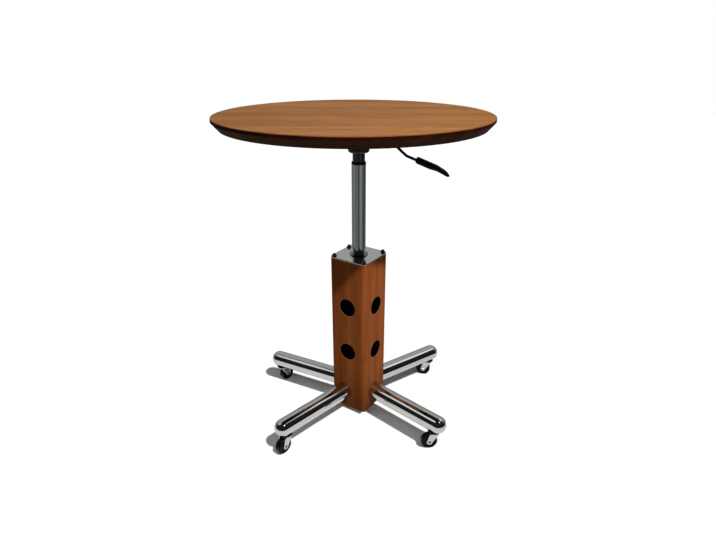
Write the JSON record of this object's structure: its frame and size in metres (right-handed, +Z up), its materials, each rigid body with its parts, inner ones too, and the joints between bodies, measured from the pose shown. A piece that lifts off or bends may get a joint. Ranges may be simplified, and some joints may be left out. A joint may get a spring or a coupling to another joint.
{
  "type": "telescoping pedestal table",
  "caption": "Round wood table on a gas spring pole in a square wood post, with a release lever and castored round-ended tube legs.",
  "frame": {"origin": "on the floor under the middle of the round top", "axes": "+Z up, +X to the right on the lever's side, +Y to the back"},
  "size_m": [0.5999, 0.6, 0.769],
  "materials": {
    "top_wood": "satin lacquer",
    "column_wood": "satin lacquer",
    "chrome": "polished",
    "black_steel": "semi-gloss",
    "zinc_steel": "zinc plated",
    "lever_steel": "semi-gloss",
    "black_plastic": "fine grain",
    "wheel_plastic": "smooth",
    "black_rubber": "matte"
  },
  "bodies": {
    "pedestal": {"column": "column_wood", "column_top_plate": "chrome", "acorn_nuts": "chrome", "column_studs": "zinc_steel", "sleeve_collar": "chrome", "outer_sleeve": "chrome", "guide_bush": "black_plastic", "sleeve_base": "zinc_steel", "thrust_race_lower": "zinc_steel", "bottom_plate": "zinc_steel", "bottom_screws": "zinc_steel", "leg_hub": "zinc_steel", "leg_bolts": "zinc_steel", "bore_cap_front_left_upper": "black_plastic", "bore_cap_front_left_lower": "black_plastic", "bore_cap_front_right_upper": "black_plastic", "bore_cap_front_right_lower": "black_plastic", "bore_cap_back_left_upper": "black_plastic", "bore_cap_back_left_lower": "black_plastic", "bore_cap_back_right_upper": "black_plastic", "bore_cap_back_right_lower": "black_plastic", "leg_front_left": "chrome", "leg_front_right": "chrome", "leg_back_right": "chrome", "leg_back_left": "chrome", "castor_stem_front_left": "black_steel", "castor_stem_front_right": "black_steel", "castor_stem_back_right": "black_steel", "castor_stem_back_left": "black_steel"},
    "spring_foot": {"piston_rod": "chrome", "piston": "zinc_steel", "stop_buffer": "black_rubber", "thrust_race_upper": "zinc_steel", "thrust_balls": "zinc_steel", "rod_clip": "zinc_steel"},
    "top": {"tabletop": "top_wood", "mounting_plate": "black_steel", "mounting_screws": "zinc_steel", "lever_housing": "black_steel", "tube_socket": "black_steel", "lever_pivot_pin": "zinc_steel", "pressure_tube": "black_steel", "rod_guide": "zinc_steel"},
    "lever": {"lever_rod": "lever_steel", "lever_grip": "black_plastic"},
    "release_pin": {"release_pin": "zinc_steel"},
    "castor_fork_front_left": {"castor_fork_front_left": "zinc_steel", "castor_axle_front_left": "zinc_steel"},
    "castor_wheel_front_left": {"castor_wheel_front_left": "wheel_plastic"},
    "castor_fork_front_right": {"castor_fork_front_right": "zinc_steel", "castor_axle_front_right": "zinc_steel"},
    "castor_wheel_front_right": {"castor_wheel_front_right": "wheel_plastic"},
    "castor_fork_back_right": {"castor_fork_back_right": "zinc_steel", "castor_axle_back_right": "zinc_steel"},
    "castor_wheel_back_right": {"castor_wheel_back_right": "wheel_plastic"},
    "castor_fork_back_left": {"castor_fork_back_left": "zinc_steel", "castor_axle_back_left": "zinc_steel"},
    "castor_wheel_back_left": {"castor_wheel_back_left": "wheel_plastic"}
  },
  "joints": [
    {"name": "top_swivel", "type": "hinge", "parent": "pedestal", "child": "spring_foot", "pos_m": [0.011, 0, 0.141], "axis": [0, 0, 1], "continuous": true},
    {"name": "top_lift", "type": "slide", "parent": "spring_foot", "child": "top", "axis": [0, 0, 1], "range_m": [0, 0.18]},
    {"name": "lever_tilt", "type": "hinge", "parent": "top", "child": "lever", "pos_m": [0.037, 0, 0.724], "axis": [0, -1, 0], "range_deg": [0, 7]},
    {"name": "release_pin_press", "type": "slide", "parent": "top", "child": "release_pin", "axis": [0, 0, -1], "range_m": [0, 0.004], "stiffness_N_per_m": 2000},
    {"name": "castor_swivel_front_left", "type": "hinge", "parent": "pedestal", "child": "castor_fork_front_left", "pos_m": [-0.16365, -0.17466, 0.0425], "axis": [0, 0, 1], "continuous": true},
    {"name": "wheel_spin_front_left", "type": "hinge", "parent": "castor_fork_front_left", "child": "castor_wheel_front_left", "pos_m": [-0.17137, -0.18385, 0.02], "axis": [0.766, -0.6428, 0], "continuous": true},
    {"name": "castor_swivel_front_right", "type": "hinge", "parent": "pedestal", "child": "castor_fork_front_right", "pos_m": [0.19456, -0.16528, 0.0425], "axis": [0, 0, 1], "continuous": true},
    {"name": "wheel_spin_front_right", "type": "hinge", "parent": "castor_fork_front_right", "child": "castor_wheel_front_right", "pos_m": [0.18259, -0.16611, 0.02], "axis": [0.0698, -0.9976, 0], "continuous": true},
    {"name": "castor_swivel_back_right", "type": "hinge", "parent": "pedestal", "child": "castor_fork_back_right", "pos_m": [0.21577, 0.13812, 0.0425], "axis": [0, 0, 1], "continuous": true},
    {"name": "wheel_spin_back_right", "type": "hinge", "parent": "castor_fork_back_right", "child": "castor_wheel_back_right", "pos_m": [0.20403, 0.14062, 0.02], "axis": [-0.2079, -0.9781, 0], "continuous": true},
    {"name": "castor_swivel_back_left", "type": "hinge", "parent": "pedestal", "child": "castor_fork_back_left", "pos_m": [-0.211, 0.10828, 0.0425], "axis": [0, 0, 1], "continuous": true},
    {"name": "wheel_spin_back_left", "type": "hinge", "parent": "castor_fork_back_left", "child": "castor_wheel_back_left", "pos_m": [-0.20252, 0.11676, 0.02], "axis": [-0.7071, 0.7071, 0], "continuous": true}
  ],
  "couplings": [
    {"joint": "release_pin_press", "follows": "lever_tilt", "m_per_rad": 0.03}
  ]
}
